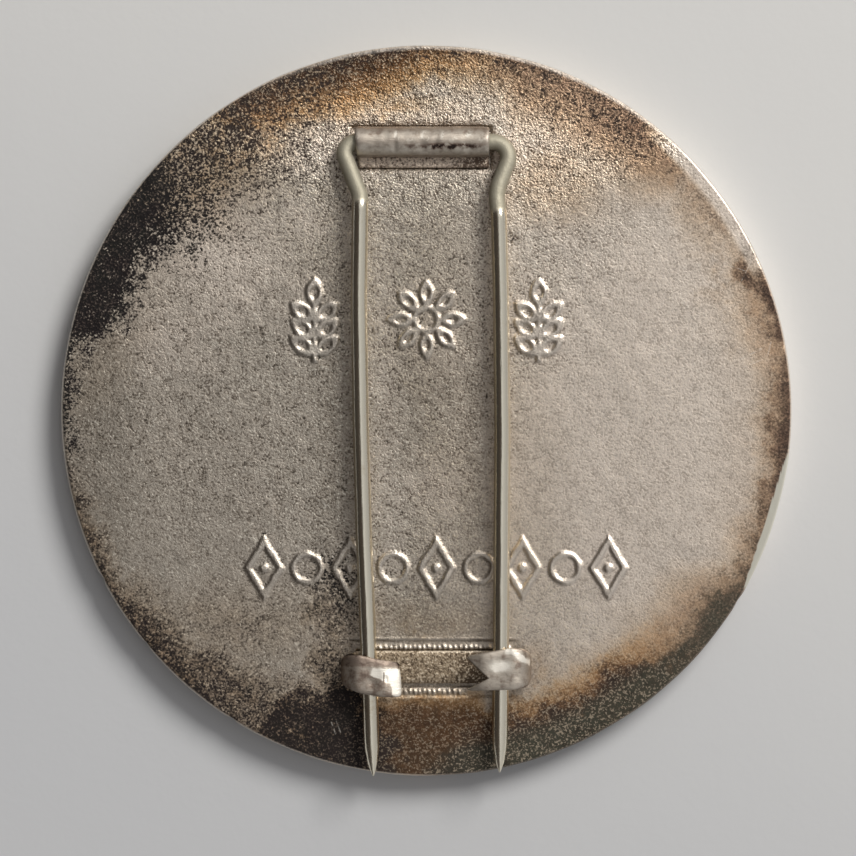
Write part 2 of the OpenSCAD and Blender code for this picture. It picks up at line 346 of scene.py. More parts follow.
def lozengeDistance(x, y, halfWidth, halfHeight):
    def solid(a, b):
        return (np.abs(x) / a + np.abs(y) / b - 1) * a * b / hypot(a, b)
    inner = 1 - 1.35 * ornament["line"] / halfWidth
    outline = np.maximum(solid(halfWidth, halfHeight), -solid(halfWidth * inner, halfHeight * inner))
    return np.minimum(outline, np.hypot(x, y) - 0.8 * ornament["line"])


def turned(x, y, degrees):
    c, s = cos(radians(degrees)), sin(radians(degrees))
    return x * c + y * s, y * c - x * s


def sprigDistance(x, y):
    h = ornament["upperHeight"]
    leafLength = 0.36 * h
    stem = (-ornament["line"] / 2, ornament["line"] / 2, -h / 2, 0.2 * h)
    leaves = [(0, h / 2 - leafLength, 90)]
    leaves += [(0, h * (0.2 * level - 0.42), 90 - side * 52) for level in range(3) for side in (-1, 1)]
    nearest = boxDistance(x, y, stem)
    for footX, footY, turn in leaves:
        u, v = turned(x - footX, y - footY, turn)
        nearest = np.minimum(nearest, leafDistance(u - leafLength / 2, v, leafLength, 0.55 * leafLength))
    return nearest


def rosetteDistance(x, y):
    h, petals = ornament["upperHeight"], ornament["petals"]
    petalLength, ringRadius = 0.34 * h, 0.17 * h
    angle = np.arctan2(y, x)
    folded = angle - np.round(angle * petals / (2 * pi)) * 2 * pi / petals
    along, across = np.hypot(x, y) * np.cos(folded), np.hypot(x, y) * np.sin(folded)
    middle = ringRadius + petalLength / 2 - ornament["line"] / 2
    return np.minimum(ringDistance(x, y, ringRadius),
                      leafDistance(along - middle, across, petalLength, 0.52 * petalLength))


# Distance to the nearest ornament, with a slight wobble, as struck work has
def ornamentDistance(x, y):
    o = ornament
    nearest = rosetteDistance(x, y - o["upperY"])
    for side in (-1, 1):
        nearest = np.minimum(nearest, sprigDistance(x - side * o["upperPitch"], y - o["upperY"]))
    for i in range(2 * o["lozenges"] - 1):
        at = x - o["lowerX"] - (i - o["lozenges"] + 1) * o["lowerPitch"]
        if i % 2:
            shape = ringDistance(at, y - o["lowerY"], 0.38 * o["lowerPitch"])
        else:
            shape = lozengeDistance(at, y - o["lowerY"], 0.46 * o["lowerPitch"], o["lowerHeight"] / 2)
        nearest = np.minimum(nearest, shape)
    return nearest + 0.022 * waves(x, y, 0.9, 5)


# Rows of staked dots: 1 on top of each and 0 between. Their places and sizes stray by sines of their number
def stakeDots(x, y):
    dots = np.zeros(x.shape)
    for row in stakeRows:
        count = int((row["last"] - row["first"]) / stake["pitch"])
        number = np.clip(np.round((x - row["first"]) / stake["pitch"]), 0, count)
        across, up, size = (far * np.sin(number * quick) for far, quick in stake["strays"])
        v = y - row["y"] - up
        u = x - row["first"] - number * stake["pitch"] - across + stake["slant"] * v
        away = np.hypot(u * stake["squash"][0], v * stake["squash"][1]) / (stake["radius"] * (1 + size))
        dots = np.maximum(dots, smooth(stake["steep"] * (1 - away)))
    return dots


# Height of the back: slow and quick undulation, ornaments, two sunk frames round two deeper pockets with a
# raised burr on each frame's edge, and rows of staked dots. It also gives what the paint needs to know
def backHeight(x, y):
    o, d = ornament, disc
    half, reach = d["wallHalf"], d["burrReach"]
    z = d["backZ"] + 0.01 * waves(x, y, 7, 1) + 0.005 * waves(x, y, 2.1, 2)
    away = ornamentDistance(x, y)
    raised = smooth((o["flankOut"] - away) / (o["flankOut"] - o["flankIn"]))
    raised *= 0.9 + 0.12 * waves(x, y, 1.7, 6)
    z += o["height"] * raised
    edge, sunk = np.zeros(x.shape), np.zeros(x.shape)
    for part in (hingeFrame, catchFrame):
        toFrame, toPocket = boxDistance(x, y, part["frame"]), boxDistance(x, y, part["pocket"])
        (x0, x1, y0, y1), (sides, low, top) = part["frame"], part["burrs"]
        onSide = np.abs(x - (x0 + x1) / 2) > (x1 - x0) / 2 - 0.05
        share = np.where(onSide, sides, np.where(y < y0 + 1, low, top))
        fade = smooth((x1 + 0.1 - x) / part["fade"])     # the frame runs out to the right
        burr = bell(toFrame, reach, reach) * (0.75 + 0.25 * waves(x, y, 1.3, 7)) * share * fade
        z += d["burr"] * burr
        z -= d["frameDepth"] * smooth((half - toFrame) / (2 * half)) * fade
        z -= (d["pocketDepth"] - d["frameDepth"]) * smooth((half - toPocket) / (2 * half))
        edge, sunk = np.maximum(edge, burr), np.maximum(sunk, smooth(-toPocket / 0.1))
    dots = stakeDots(x, y)
    z += stake["height"] * dots
    return z, dict(relief=raised, beside=smooth(1 - away / 0.5), struck=np.maximum(edge, dots), sunk=sunk)


# Grid lines from -r to r: as close as the step of the band that they run through, with the wanted ones exact
def gridLines(radius, coarse, bands, exact):
    at = np.linspace(-radius, radius, 8000)
    density = np.full(at.shape, 1 / coarse)
    for low, high, step in bands:
        inside = smooth((at - low) / 0.5 + 1) * smooth((high - at) / 0.5 + 1)
        density = np.maximum(density, inside / step)
    total = running((density[1:] + density[:-1]) / 2 * np.diff(at))
    lines = np.interp(np.linspace(0, total[-1], int(total[-1]) + 2), total, at)
    taken = np.zeros(lines.shape, bool)
    for value in sorted(set(exact)):
        nearest = np.argmin(np.where(taken, np.inf, np.abs(lines - value)))
        lines[nearest] = value
        taken[nearest] = True
    return np.sort(lines)


# Rim: for each angle a profile from the back face over the edge, down the wall and in over the front
def rimRows(theta):
    d = disc
    r, round1, round2 = d["diameter"] / 2, d["rounding"], d["frontRounding"]
    wave = d["wallWave"] * (0.5 + 0.5 * waves(np.cos(theta) * r, np.sin(theta) * r, 5, 11))
    nick = np.zeros(theta.shape)
    for turn, width, depth in d["nicks"]:
        off = (theta - radians(turn) + pi) % (2 * pi) - pi
        nick += depth * bell(off * r, 0, width)
    outer = r - wave - nick
    # radius and height of each ring: the edges are quarter circles
    back = [(outer - inset, 0) for inset in d["insets"]]
    back += [(outer - round1 * (1 - sin(t)), round1 * (cos(t) - 1)) for t in np.linspace(0, pi / 2, 6)]
    wall = [(outer, z) for z in d["wallZ"]]
    front = [(outer - round2 * (1 - cos(t)), round2 * (1 - sin(t))) for t in np.linspace(0, pi / 2, 5)]
    front += [(np.full(theta.shape, float(radius)), 0) for radius in d["frontRadii"]]
    radii, heights = (np.array(v) for v in zip(*back, *wall, *front))
    heights = heights[:, None] + np.zeros(theta.shape)
    x, y = radii * np.cos(theta), radii * np.sin(theta)
    flat = len(back)
    top, marks = backHeight(x[:flat], y[:flat])
    # beside a nick the edge is pressed down
    pressed = np.clip(nick * 0.8, 0, 0.06) * smooth(1 - (outer - radii[:flat]) / 0.45)
    heights[:flat] += top - pressed
    # the filed place: a slanting plane cuts what stands above it
    turn, cut = radians(d["filedTurn"]), flat + len(wall)
    along = x[:cut] * cos(turn) + y[:cut] * sin(turn)
    plane = d["backZ"] - (along - (r - d["filedWidth"])) * tan(radians(d["filedSlope"]))
    filed = np.zeros(heights.shape)
    filed[:cut] = heights[:cut] > plane
    heights[:cut] = np.minimum(heights[:cut], plane)
    rest = np.zeros((len(radii) - flat, len(theta)))
    marks = {key: np.concatenate([v, rest]) for key, v in marks.items()}
    return x, y, heights, dict(marks, filed=filed)


def makeDisc():
    o, d = ornament, disc
    widest = (o["lozenges"] - 1) * o["lowerPitch"] + 1.5
    across, *upright = ((middle - half, middle + half, o["fineStep"]) for middle, half in (
        (o["lowerX"], widest), (o["lowerY"], 2.1), (o["upperY"], 2.7)))
    upright += [(*part["frame"][2:], part["step"]) for part in (catchFrame, hingeFrame)]
    borders = [side + way * d["wallHalf"] for part in (hingeFrame, catchFrame) for box in ("frame", "pocket")
               for side in part[box] for way in (-1, 1)]
    xs = gridLines(d["innerRadius"], d["coarseStep"], [across], [b for b in borders if abs(b) < 10])
    ys = gridLines(d["innerRadius"], d["coarseStep"], upright, [b for b in borders if abs(b) > 10])
    x, y = (g.ravel() for g in np.meshgrid(xs, ys))
    faces = gridFaces(len(ys), len(xs))
    faces = faces[(np.hypot(x, y) < d["innerRadius"])[faces].all(1)]
    used, faces = np.unique(faces, return_inverse=True)
    faces = faces.reshape(-1, 4)
    x, y = x[used], y[used]
    z, marks = backHeight(x, y)
    marks["filed"] = np.zeros(x.shape)

    theta = np.arange(d["columns"]) * 2 * pi / d["columns"]
    rimX, rimY, rimZ, rimMarks = rimRows(theta)
    start, middle = len(x), len(x) + rimX.size
    rim = gridFaces(len(rimX), d["columns"], True, start)[:, ::-1]
    # the stepped border of the grid and the first ring, both in order of angle, are joined by triangles
    border = np.flatnonzero(np.bincount(faces.ravel(), minlength=start) < 4)
    turn = np.arctan2(y[border], x[border]) % (2 * pi)
    order = np.argsort(turn)
    border, turn = border[order], turn[order]
    ring = start + np.arange(d["columns"])
    outerAt = ring[np.searchsorted(theta, turn, side="left") - 1]
    inner = np.stack([np.roll(border, 1), outerAt, border], -1)
    innerAt = border[np.searchsorted(turn, theta, side="right") - 1]
    outer = np.stack([np.roll(ring, 1), ring, innerAt], -1)
    last = middle - d["columns"] + np.arange(d["columns"])
    cap = np.stack([last, np.full(last.shape, middle), np.roll(last, -1)], -1)
    points = np.concatenate([
        np.stack([x, y, z], -1), np.stack([rimX, rimY, rimZ], -1).reshape(-1, 3), [[0, 0, 0]]])
    marks = {key: np.concatenate([v, rimMarks[key].ravel(), [0]]) for key, v in marks.items()}
    quads, triangles = np.concatenate([faces, rim]), np.concatenate([inner, outer, cap])
    return makeMesh("struckDisc", points, quads, triangles, marks)


# A bent path in a plane, from pieces of a length, a radius and a turn: straight where its radius is 0, else
# an arc to the left. It is three arrays: lengths along it, places and inward normals
def bentPath(start, heading, pieces, step=0.02):
    places, headings = [np.array([start], float)], [np.array([radians(heading)])]
    for length, radius, turn in pieces:
        here, h = places[-1][-1], headings[-1][-1]
        if radius:
            count = max(8, int(radius * radians(turn) / step))
            h2 = h + np.linspace(0, radians(turn), count + 1)[1:]
            centre = here + radius * np.array([-sin(h), cos(h)])
            places.append(centre + radius * np.stack([np.sin(h2), -np.cos(h2)], -1))
        else:
            count = max(4, int(length / step))
            h2 = np.full(count, h)
            ahead = np.array([cos(h), sin(h)])
            places.append(here + np.linspace(0, length, count + 1)[1:, None] * ahead)
        headings.append(h2)
    place, h = np.concatenate(places), np.concatenate(headings)
    run = running(np.hypot(*np.diff(place, axis=0).T))
    return dict(run=run, place=place, inward=np.stack([-np.sin(h), np.cos(h)], -1))


# Strip: a rounded section, a superellipse of the width and the thickness in even steps, carried along a bent
# path. across(s, v) is the place across the path for v from -1 to 1, trim(s, v) is where a row lies along it,
# and grow(s, side) is how far the outer skin stands out or in
def stripSurface(path, strip, across, grow, trim=None):
    length, around, thick = path["run"][-1], strip["around"], strip["thickness"] / 2
    s = np.linspace(0, length, strip["rows"])[1:-1]
    nearEnd = np.array([0, 0.015, 0.05, 0.1]) * strip["endRound"]
    s = s[(s > nearEnd[-1]) & (s < length - nearEnd[-1])]
    s = np.concatenate([nearEnd, s, length - nearEnd[::-1]])[:, None]
    turn = np.linspace(0, 2 * pi, 6001)
    circle = zip((np.cos(turn), np.sin(turn)), strip["square"])
    section = [np.sign(w) * np.abs(w) ** (2 / k) for w, k in circle]
    run = running(np.hypot(np.diff(section[0]) * strip["width"] / 2, np.diff(section[1]) * thick))
    even = (np.arange(around) + 0.5) / around * run[-1]
    v, h = (np.interp(even, run, w)[None, :] for w in section)
    # the strip thins towards its ends
    fromEnd = np.clip(np.minimum(s, length - s) / strip["endRound"], 0, 1)
    swell = 0.3 + 0.7 * (1 - (1 - fromEnd) ** 2.5) ** 0.4
    at = trim(s, v) if trim else s + 0 * v
    side = across(at, v)
    out = h * thick * swell + grow(at, side) * smooth(h + 0.2)

    def along(key, k):
        return np.interp(at, path["run"], path[key][:, k])

    first, second = (along("place", k) - along("inward", k) * out for k in (0, 1))
    j = np.arange(around // 2 - 1)
    cap = np.stack([j, j + 1, around - 2 - j, around - 1 - j], -1)
    skin = gridFaces(len(s), around, True)[:, ::-1]
    faces = np.concatenate([skin, cap, (cap + (len(s) - 1) * around)[:, ::-1]])
    if strip["plane"] == "yz":
        points, faces = [side, first, second], faces[:, ::-1]
    else:
        points = [first, side, second]
    return np.stack(points, -1).reshape(-1, 3), faces, dict(outer=h + 0 * at, run=at)


# Hinge plate: a flat foot and a roll over the wire, with its left end cut at a slant
hinge = dict(
    y=16.5, axisZ=2.705, bore=0.555, thickness=0.4, footLength=1.57, rollTurn=297, width=8.2,
    x0=-4.35, x1=3.85, slant=6, rows=92, around=250, square=(40, 5), endRound=0.12, plane="yz",
    # each knock's place across and along the strip, its two sizes and its depth
    knocks=((-1.95, 4.25, 0.16, 0.35, 0.035), (-0.25, 4.15, 0.25, 0.3, 0.049), (0.55, 4.1, 0.2, 0.25, 0.035),
            (2.65, 4.3, 0.35, 0.3, 0.035), (1.1, 4.7, 0.5, 0.2, 0.035), (-3.1, 4.6, 0.4, 0.3, 0.021)))


def makeHinge():
    g = hinge
    middle = g["bore"] + g["thickness"] / 2
    path = bentPath((g["y"] - g["footLength"], g["axisZ"] - middle), 0,
                    [(g["footLength"], 0, 0), (0, middle, g["rollTurn"])])

    def across(s, v):
        y = np.interp(s, path["run"], path["place"][:, 0])
        left = g["x0"] - (y - g["y"]) * tan(radians(g["slant"]))
        return (left + g["x1"]) / 2 + v * (g["x1"] - left) / 2

    # slow waves and the knocks, on the roll alone
    def grow(s, x):
        onRoll = smooth((s - g["footLength"] - 0.3) / 0.5)
        uneven = 0.01 * waves(x, s * 1.4, 2.2, 21) + 0.004 * waves(x, s, 0.7, 22) - 0.012
        for at, along, wide, tall, depth in g["knocks"]:
            uneven = uneven - depth * bell(x, at, wide) * bell(s, along, tall)
        return onRoll * uneven

    points, faces, marks = stripSurface(path, g, across, grow)
    return makeMesh("hingeStrip", points, faces, marks=marks)


# Catch plate: a strip whose two ends are bent up and over as hooks, with their free ends curled down. Its
# path starts at the left hook's free end, and only turns to the left
catch = dict(
    thickness=0.4, bend=1, curl=2.4, curlTurn=32, leafLeft=1.172, leafRight=1.522, strip=9.29,
    leftBendX=-4.06, topZ=3.95, notch=1.4, notchAt=-0.38, bow=0.07, endReach=2.7, width=2.2,
    rows=310, around=76, square=(4.5, 3.6), endRound=0.2, plane="xz",
    # lengths along it, and the lower and the upper edge there
    edges=((0, -17.58, -15.44), (1.34, -17.52, -15.24), (2.51, -17.3, -14.96), (3.3, -17.02, -15),
           (4.08, -16.7, -15.24), (4.9, -16.8, -14.95), (5.7, -16.8, -14.77), (14.9, -16.8, -14.77),
           (15.7, -16.85, -14.72), (16.5, -16.7, -14.95), (17.3, -16.98, -14.62), (18.08, -17.1, -14.52),
           (19.6, -17.13, -14.78), (20.95, -17.15, -15.04)))


def makeCatch():
    g = catch
    curlTurn, reach, notchAt = radians(g["curlTurn"]), g["endReach"], g["notchAt"]
    start = (g["leftBendX"] + g["leafLeft"] + g["curl"] * sin(curlTurn),
             g["topZ"] - g["curl"] * (1 - cos(curlTurn)))
    path = bentPath(start, 180 - g["curlTurn"], [
        (0, g["curl"], g["curlTurn"]), (g["leafLeft"], 0, 0), (0, g["bend"], 180), (g["strip"], 0, 0),
        (0, g["bend"], 180), (g["leafRight"], 0, 0), (0, g["curl"], g["curlTurn"])])
    length = path["run"][-1]
    run, low, high = np.array(g["edges"]).T

    def across(s, v):
        lowSide, highSide = np.interp(s, run, low), np.interp(s, run, high)
        corner = np.minimum(s, length - s)
        rounded = 1 - 0.16 * (1 - np.clip(corner / 0.45, 0, 1)) ** 2.5     # the free ends' rounded corners
        return (lowSide + highSide) / 2 + v * rounded * (highSide - lowSide) / 2

    # the right end is notched: a tent over the width pulls its last rows back. The left end is a little bowed
    def trim(s, v):
        tent = np.where(v > notchAt, (1 - v) / (1 - notchAt), (1 + v) / (1 + notchAt))
        bowed = g["bow"] * v ** 4 * np.clip(1 - s / reach, 0, 1)
        return s + bowed - g["notch"] * tent ** 1.1 * np.clip((s - length + reach) / reach, 0, 1)

    # slow waves, and on the left hook a crack, a dent, a worn end and a slight twist
    def grow(s, y):
        soft = 0.01 * waves(s, y, 1.8, 31) + 0.004 * waves(s, y, 0.7, 32)
        crack = 0.05 * bell(s, 0.93, 0.045) * bell(y, -16.45, 0.24, 4)
        dent = 0.05 * bell(s, 1.7, 0.3) * bell(y, -16.75, 0.3)
        worn = 0.03 * bell(s, 0.35, 0.35) * smooth((y + 16.4) / 0.8)
        twist = 0.15 * bell(s, 0, 1.5) * (y + 16.4)
        return soft - crack - dent - worn - twist - 0.01

    points, faces, marks = stripSurface(path, g, across, grow, trim)
    # outside its pocket the strip lies on the sunk frame
    outside = boxDistance(points[:, 0], points[:, 1], catchFrame["pocket"]) > -0.03
    lowest = np.where(outside, disc["backZ"] - disc["frameDepth"] + 0.01, 0)
    points[:, 2] = np.maximum(points[:, 2], lowest)
    return makeMesh("catchStrip", points, faces, marks=marks)


# Pin: one round wire along a route with rounded corners, highest at its two kinks and pointed at both ends
wire = dict(
    radius=0.5, step=0.13, around=36, pointLength=3.1, kinkLeft=12.42, kinkRight=11.85,
    # each corner's place and the radius of its bend
    route=((-3.26, -22.42, 3.132, 0), (-3.37, -20.5, 3.152, 40), (-3.585, -13.8, 3.222, 90),
           (-3.83, -7.9, 3.284, 90), (-4.033, -0.6, 3.36, 90), (-4.143, 6.8, 3.438, 70),
           (-4.068, 12.42, 3.5, 1.3), (-4.06, 13.14, 3.36, 1), (-5.37, 16.5, 2.705, 0.75),
           (5.5, 16.5, 2.705, 1), (4.4, 13.75, 3.169, 1.2), (4.31, 13.1, 3.279, 0.9),
           (4.43, 11.85, 3.49, 1.5), (4.56, 6.8, 3.434, 60), (4.65, -1.4, 3.348, 90),
           (4.6, -8, 3.279, 90), (4.545, -16.5, 3.19, 90), (4.49, -22.2, 3.13, 0)))


def unit(v):
    return v / np.linalg.norm(v, axis=-1, keepdims=True)


def makeWire():
    g, n = wire, wire["around"]
    route = np.array(g["route"])
    corners, bends = route[:, :3], route[:, 3]
    line = [corners[0]]
    # at a corner the line follows an arc that touches both stretches
    for before, corner, after, radius in zip(corners, corners[1:], corners[2:], bends[1:]):
        a, b = unit(before - corner), unit(after - corner)
        half = acos(np.clip(-a @ b, -1, 1)) / 2
        middle, across = unit(a + b), unit(b - a)
        turn = np.linspace(-half, half, 30)[:, None]
        arc = across * np.sin(turn) - middle * np.cos(turn)
        line.extend(corner + middle * radius / cos(half) + radius * arc)
    line = np.array([*line, corners[-1]])
    run = running(np.linalg.norm(np.diff(line, axis=0), axis=1))
    ends = np.array([0, 0.006, 0.02, 0.05])
    even = np.linspace(0, run[-1], int(run[-1] / g["step"]))
    even = np.concatenate([ends, even[1:-1], run[-1] - ends[::-1]])
    path = np.stack([np.interp(even, run, line[:, k]) for k in range(3)], -1)
    ahead = unit(np.gradient(path, even, axis=0))
    sideways = unit(np.cross(ahead, [0, 0, 1]))
    upwards = np.cross(sideways, ahead)
    # a point thins in an arch: the radius is 1 - (1 - distance / length) to the power 2.6
    fromEnd = np.minimum(even, run[-1] - even)
    radius = g["radius"] * (1 - (1 - np.clip((fromEnd + 0.09) / g["pointLength"], 0, 1)) ** 2.6)
    radius *= np.clip(fromEnd / 0.05, 0, 1) ** 0.5 * 0.999 + 0.001
    onPoint = smooth(1 - fromEnd / g["pointLength"])
    radius *= 1 + 0.03 * onPoint * waves(even, 0 * even, 0.8, 41)
    angle = (np.arange(n) * 2 * pi / n)[:, None]
    rings = sideways[:, None] * np.cos(angle) + upwards[:, None] * np.sin(angle)
    points = (path[:, None] + rings * radius[:, None, None]).reshape(-1, 3)
    faces = gridFaces(len(path), n, True)[:, ::-1]
    first, last = np.arange(n), len(points) - n + np.arange(n)
    tips = np.concatenate([np.stack([np.full(n, len(points)), first, np.roll(first, -1)], -1),
                           np.stack([np.full(n, len(points) + 1), np.roll(last, -1), last], -1)])
    points = np.concatenate([points, path[[0, -1]]])
    kink = np.where(path[:, 0] < 0, g["kinkLeft"], g["kinkRight"])
    shoulder = smooth((path[:, 1] - kink - 0.1) / 0.5)   # 1 above the kinks
    shoulder, point = (np.append(np.repeat(v, n), v[[0, -1]]) for v in (shoulder, onPoint))
    return makeMesh("bentWire", points, faces, tips, dict(shoulder=shoulder, point=point))


# Tarnish along the rim: middle and half-width in degrees, reach in from the edge, softness of its border in
# millimetres, and how far it goes. The dark layer is broken into specks, the warm film under it is smooth
darkRim = dict(
    upperLeft=(153, 15, 3.3, 2, 1.25), upperLeftLow=(164, 10, 0.9, 0.9, 1.1),
    upperSpecks=(136, 18, 5.4, 3.4, 0.74), topLeft=(120, 17, 4.8, 3.8, 0.58), top=(96, 28, 1, 1.4, 0.6),
    upperRight=(60, 14, 3, 2.6, 0.52), rightUp=(38, 12, 2.5, 1.8, 0.5),
    rightSpecks=(19, 10, 2.2, 1.9, 0.95), right=(-7, 17, 1.4, 1.5, 0.9),
    lowerRight=(-28, 14, 1.2, 1, 0.84), greenBand=(-67, 22, 3.1, 1.6, 1.1),
    greenEnd=(-45, 17, 2, 1.5, 1), bottom=(-88, 17, 3.6, 2.6, 0.54),
    bottomLeft=(-106, 11, 3.9, 1.9, 1.25), lowLeft=(-123, 13, 3.3, 1.7, 0.78),
    lowerLeft=(-138, 14, 1.9, 1.9, 0.94), leftLow=(-153, 16, 1.1, 1, 0.84),
    leftEdge=(-172, 14, 0.5, 0.6, 0.55), left=(177, 13, 0.9, 0.8, 0.74))
warmRim = dict(
    top=(107, 18, 2.5, 3, 0.95), topLeft=(130, 16, 5.2, 2.4, 0.3), topMiddle=(84, 20, 1.8, 2.8, 0.8),
    topRight=(60, 20, 3.6, 3, 0.66), lowerRight=(-52, 26, 4.1, 2, 0.5),
    bottom=(-91, 15, 4.9, 1.4, 0.8), right=(-2, 36, 1.9, 1.6, 0.5),
    rightWide=(0, 34, 3.2, 2.2, 0.14), upperLeft=(150, 30, 4.6, 2, 0.1))
coarseRim = dict(top=(88, 36, 9, 2.8, 1))
# Patches away from the rim: place, half-sizes, softness and how far they go
warmPatches = dict(
    betweenProngs=(1.2, 2, 2.6, 9.5, 2.2, 0.08), besideProng=(6.4, -3, 2, 9, 1.8, 0.08),
    aboveCatch=(0.3, -12.8, 3.8, 1, 1.2, 0.22), rightOfHinge=(8.2, 14.4, 3, 2.4, 2, 0.32),
    overHinge=(-3.5, 18.8, 5.6, 1, 1, 0.32), farRight=(19.3, 5.6, 0.9, 1.9, 1.3, 0.36))
darkPatches = dict(
    besideHinge=(-8.8, 15.6, 2.4, 2, 1.8, 0.5), rightSmudge=(17.6, 6.8, 0.7, 0.6, 0.8, 0.3),
    catchLeft=(-6.3, -15.9, 1.3, 1.6, 0.9, 0.66), catchRight=(7, -16.2, 0.8, 1.5, 1.2, 0.34),
    overCatch=(-6, -12.2, 1.6, 2.8, 1.2, 0.64), underCatch=(0.4, -19, 3.4, 1.2, 0.9, 0.46),
    besidePoint=(-5.1, -18.7, 1.3, 1.9, 1.3, 1.6), lowerLeftSpecks=(-11.4, -13.2, 4.6, 2, 2, 0.42))
# Patches that dull the silver. leftProng and rightProngShadow are painted shadows of the pin's prongs, on the
# disc to the left of each
dullAndShadowPatches = dict(
    leftProng=(-5.7, -1, 1, 11, 1, 0.3), rightProngShadow=(3.1, -4.5, 1, 8, 1, 0.4),
    farLeft=(-20.5, -2, 2.4, 8, 2.4, 0.3), middle=(0.2, 0, 2.6, 5, 2.6, 0.2),
    upperRight=(11.5, 13, 3, 3, 2.4, 0.16), aboveCatch=(0.3, -12.3, 3.8, 1.6, 1.2, 0.24))
clearPatches = dict(
    upperLeft=(-12.5, 9.6, 3.6, 3.4, 3.2, 0.8), left=(-15.5, 5, 2.6, 2.6, 2.4, 0.4),
    top=(-4, 17.2, 9, 2, 2, 0.9), leftProng=(-2.6, -1, 0.7, 11, 0.7, 0.34),
    low=(0.2, -4.6, 2.6, 1.8, 1.8, 0.45), leftOfWire=(-7.6, 11.8, 1.4, 1.2, 1.2, 0.6))
# Scratches: the two ends of each and its width
scratches = (
    (-8.3, 15, -7.2, 13.2, 0.055), (-7.2, 13.2, -5.5, 12.2, 0.045), (-2.9, 13.3, -2.6, 13.1, 0.09),
    (-2.6, 13.1, -2.1, 12.2, 0.09), (4, 17.55, 4.5, 17.15, 0.22), (-6.6, -5.2, -6.2, -5.9, 0.07),
    (-6.2, -5.9, -5.9, -5.6, 0.05), (-5.85, -19.2, -5.6, -19.9, 0.06), (-5.55, -19.1, -5.3, -19.8, 0.06),
    (-19.6, -1.4, -19.2, -1.9, 0.05), (-2.2, 10.9, -0.9, 10.95, 0.05), (-6.4, -3.6, -5.9, -4.5, 0.045),
    (19.1, 3, 20.6, 3.8, 0.1), (19.6, 2.7, 20.8, 3.2, 0.09), (20.9, 3, 21.2, 4.2, 0.07),
    (16.2, 11, 18, 12.1, 0.035), (19.2, 7.6, 20.2, 9.6, 0.04), (17.9, 9.2, 19.6, 8.6, 0.035))
film = [  # what the warm film looks like as it thickens, from clean silver to purple-brown
    (0, 255, 255, 255), (0.28, 246, 237, 226), (0.52, 220, 199, 178),
    (0.74, 170, 147, 131), (0.9, 124, 103, 94), (1, 94, 78, 76)]
silver = dict(
    clean=(232, 218, 203), hazy=(184, 174, 161), dull=(140, 134, 124), pit=(138, 128, 116),
    fleck=(255, 248, 232), gold=(255, 236, 206), rubbed=(230, 221, 208), blackWarm=(25, 19, 20),
    blackCool=(22, 22, 19), brown=(66, 52, 45), green=(64, 64, 54), grain=(116, 102, 92),
    greenGrain=(134, 136, 122), mottle=(42, 30, 22), paleSpeck=(206, 190, 166), brink=(222, 216, 208),
    filed=(204, 203, 190), scratch=(240, 232, 220))


# The most that any rounded patch in a table covers: its depth in the middle, and 0 past its border
def patchCover(p, at, patches):
    covers = []
    for cx, cy, halfX, halfY, soft, depth in patches.values():
        off = p.vector("DIVIDE", p.vector("SUBTRACT", at, (cx, cy, 0)), (halfX, halfY, 1))
        border = soft / min(halfX, halfY)
        covers.append(p.vector("LENGTH", off, output="Value").ramp(1 + border, 1 - border) * depth)
    return reduce(Link.most, covers)


# The most that any region along the rim covers, from a table of them
def rimCover(p, regions, warped, direction, drift):
    covers = []
    for turn, half, reach, soft, level in regions.values():
        ends = (cos(radians(k * half)) for k in (1.4, 0.5))
        mask = (p.facing(direction, turn) + drift).ramp(*ends)
        covers.append((mask * (reach + soft) - soft - warped).ramp(-soft, soft) * level)
    return reduce(Link.most, covers)


# Struck grain as a height: fine grains, some coarser
def grain(p):
    return p.noise(0.13, 2, 0.62) * 0.75 + p.noise(0.36, 1, 0.5, shift=3) * 0.25


# 1 along a scratch and 0 at its width from it
def scratchDepth(p, flat, ax, ay, bx, by, width):
    ahead = (bx - ax, by - ay, 0)
    off = p.vector("SUBTRACT", flat, (ax, ay, 0))
    along = (p.dot(off, ahead) / (ahead[0] ** 2 + ahead[1] ** 2)).most(0).least(1)
    foot = p.node("VectorMath", {"operation": "SCALE"}, {0: ahead, "Scale": along})
    return p.vector("DISTANCE", off, foot, output="Value").ramp(width, 0)


